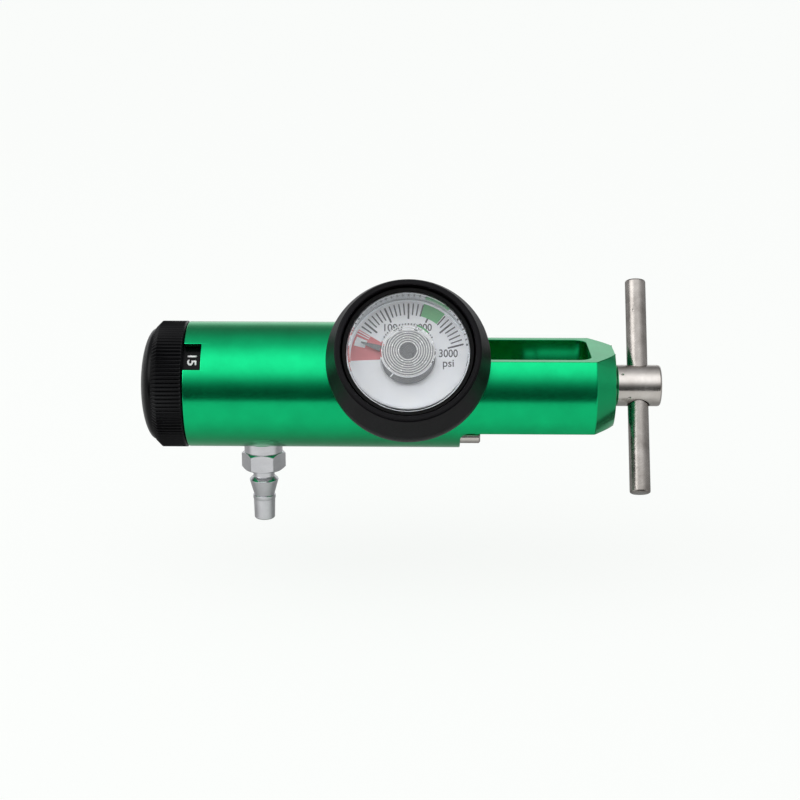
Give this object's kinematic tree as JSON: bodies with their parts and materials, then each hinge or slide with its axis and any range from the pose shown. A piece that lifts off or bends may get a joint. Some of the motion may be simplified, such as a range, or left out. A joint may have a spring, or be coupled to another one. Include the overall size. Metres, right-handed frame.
{
  "type": "oxygen regulator",
  "caption": "Yoke-type oxygen regulator: bar body, booted contents gauge, click-stop flow knob, hose barb and T-handle clamp.",
  "frame": {"origin": "on the bar's axis, in the shoulder face that the cylinder valve is clamped towards", "axes": "+X along the bar from the flow knob to the clamp handle, +Z normal to the yoke's flats and away from the outlet, -Y towards the side that the gauge faces"},
  "size_m": [0.1444, 0.0597, 0.0741],
  "materials": {
    "regulator_body": "green anodised, turned and milled",
    "brass_sleeve": "turned",
    "inlet_nipple": "turned",
    "inlet_filter": "sintered bronze",
    "yoke_washer": "brass ring of a bonded seal",
    "index_pin_near": "stainless",
    "index_pin_far": "stainless",
    "piston": "turned",
    "piston_seat": "moulded seat",
    "piston_stem_o_ring": "moulded",
    "piston_head_o_ring": "moulded",
    "piston_spring": "spring wire",
    "metering_block": "turned",
    "block_o_ring": "moulded",
    "port_o_ring": "moulded",
    "orifice_plate": "lapped",
    "selector_spindle": "turned",
    "core_cap": "turned",
    "stop_pin": "ground",
    "detent_ball": "ground",
    "detent_spring": "spring wire",
    "flow_knob": "black anodised",
    "knob_screw": "stainless",
    "hose_barb": "nickel plated",
    "clamp_screw": "turned stainless",
    "tee_bar": "turned stainless",
    "swivel_tip": "turned stainless",
    "gauge_boot": "moulded",
    "gauge_case": "black paint",
    "gauge_lens": "clear moulded window",
    "gauge_dial": "printed",
    "gauge_pointer": "painted",
    "gauge_socket": "machined",
    "bourdon_tube": "drawn phosphor bronze",
    "movement_back_plate": "stamped",
    "movement_front_plate": "stamped",
    "pinion_arbor": "cut",
    "sector_gear": "stamped",
    "tube_link": "stamped"
  },
  "bodies": {
    "regulator": {"regulator_body": "regulator_body", "brass_sleeve": "brass_sleeve", "inlet_nipple": "inlet_nipple", "inlet_filter": "inlet_filter", "yoke_washer": "yoke_washer", "index_pin_near": "index_pin_near", "index_pin_far": "index_pin_far", "piston_spring": "piston_spring", "metering_block": "metering_block", "block_o_ring": "block_o_ring", "port_o_ring": "port_o_ring", "core_cap": "core_cap", "stop_pin": "stop_pin", "detent_spring": "detent_spring", "hose_barb": "hose_barb", "gauge_boot": "gauge_boot", "gauge_case": "gauge_case", "gauge_lens": "gauge_lens", "gauge_dial": "gauge_dial", "gauge_socket": "gauge_socket", "bourdon_tube": "bourdon_tube", "movement_back_plate": "movement_back_plate", "movement_front_plate": "movement_front_plate"},
    "knob": {"flow_knob": "flow_knob", "knob_screw": "knob_screw", "selector_spindle": "selector_spindle", "orifice_plate": "orifice_plate"},
    "detent": {"detent_ball": "detent_ball"},
    "piston": {"piston": "piston", "piston_seat": "piston_seat", "piston_stem_o_ring": "piston_stem_o_ring", "piston_head_o_ring": "piston_head_o_ring"},
    "clamp_tip": {"swivel_tip": "swivel_tip"},
    "clamp_handle": {"clamp_screw": "clamp_screw", "tee_bar": "tee_bar"},
    "pointer": {"gauge_pointer": "gauge_pointer", "pinion_arbor": "pinion_arbor"},
    "sector": {"sector_gear": "sector_gear"},
    "link": {"tube_link": "tube_link"}
  },
  "joints": [
    {"name": "knob_turn", "type": "hinge", "parent": "regulator", "child": "knob", "pos_m": [-0.0757, 0, 0], "axis": [1, 0, 0], "range_deg": [-330, 0]},
    {"name": "detent_slide", "type": "slide", "parent": "regulator", "child": "detent", "axis": [1, 0, 0], "range_m": [0, 0.0006], "stiffness_N_per_m": 500, "springref_m": -0.002, "deforming": ["detent_spring"]},
    {"name": "piston_slide", "type": "slide", "parent": "regulator", "child": "piston", "axis": [1, 0, 0], "range_m": [0, 0.0007], "stiffness_N_per_m": 2000, "springref_m": -0.004, "deforming": ["piston_spring"]},
    {"name": "clamp_travel", "type": "slide", "parent": "regulator", "child": "clamp_tip", "axis": [1, 0, 0], "range_m": [-0.0004, 0.0128]},
    {"name": "handle_turn", "type": "hinge", "parent": "clamp_tip", "child": "clamp_handle", "pos_m": [0.0496, 0, 0], "axis": [1, 0, 0], "range_deg": [-90, 2880]},
    {"name": "pointer_turn", "type": "hinge", "parent": "regulator", "child": "pointer", "pos_m": [-0.0142, 0, 0], "axis": [0, -0.8746, 0.4848], "range_deg": [-147, 0], "stiffness_Nm_per_rad": 0.0001, "springref_deg": 17.19, "deforming": ["bourdon_tube"]},
    {"name": "sector_turn", "type": "hinge", "parent": "regulator", "child": "sector", "pos_m": [-0.00777, -0.00312, -0.00563], "axis": [0, -0.8746, 0.4848], "range_deg": [0, 26.8]},
    {"name": "link_turn", "type": "hinge", "parent": "sector", "child": "link", "pos_m": [-0.00494, -0.00449, -0.0081], "axis": [0, -0.8746, 0.4848], "range_deg": [-22.8, 0]}
  ],
  "couplings": [
    {"joint": "clamp_travel", "follows": "handle_turn", "m_per_rad": 0.00025266},
    {"joint": "sector_turn", "follows": "pointer_turn", "ratio": -0.18182},
    {"joint": "link_turn", "follows": "pointer_turn", "ratio": 0.154}
  ]
}
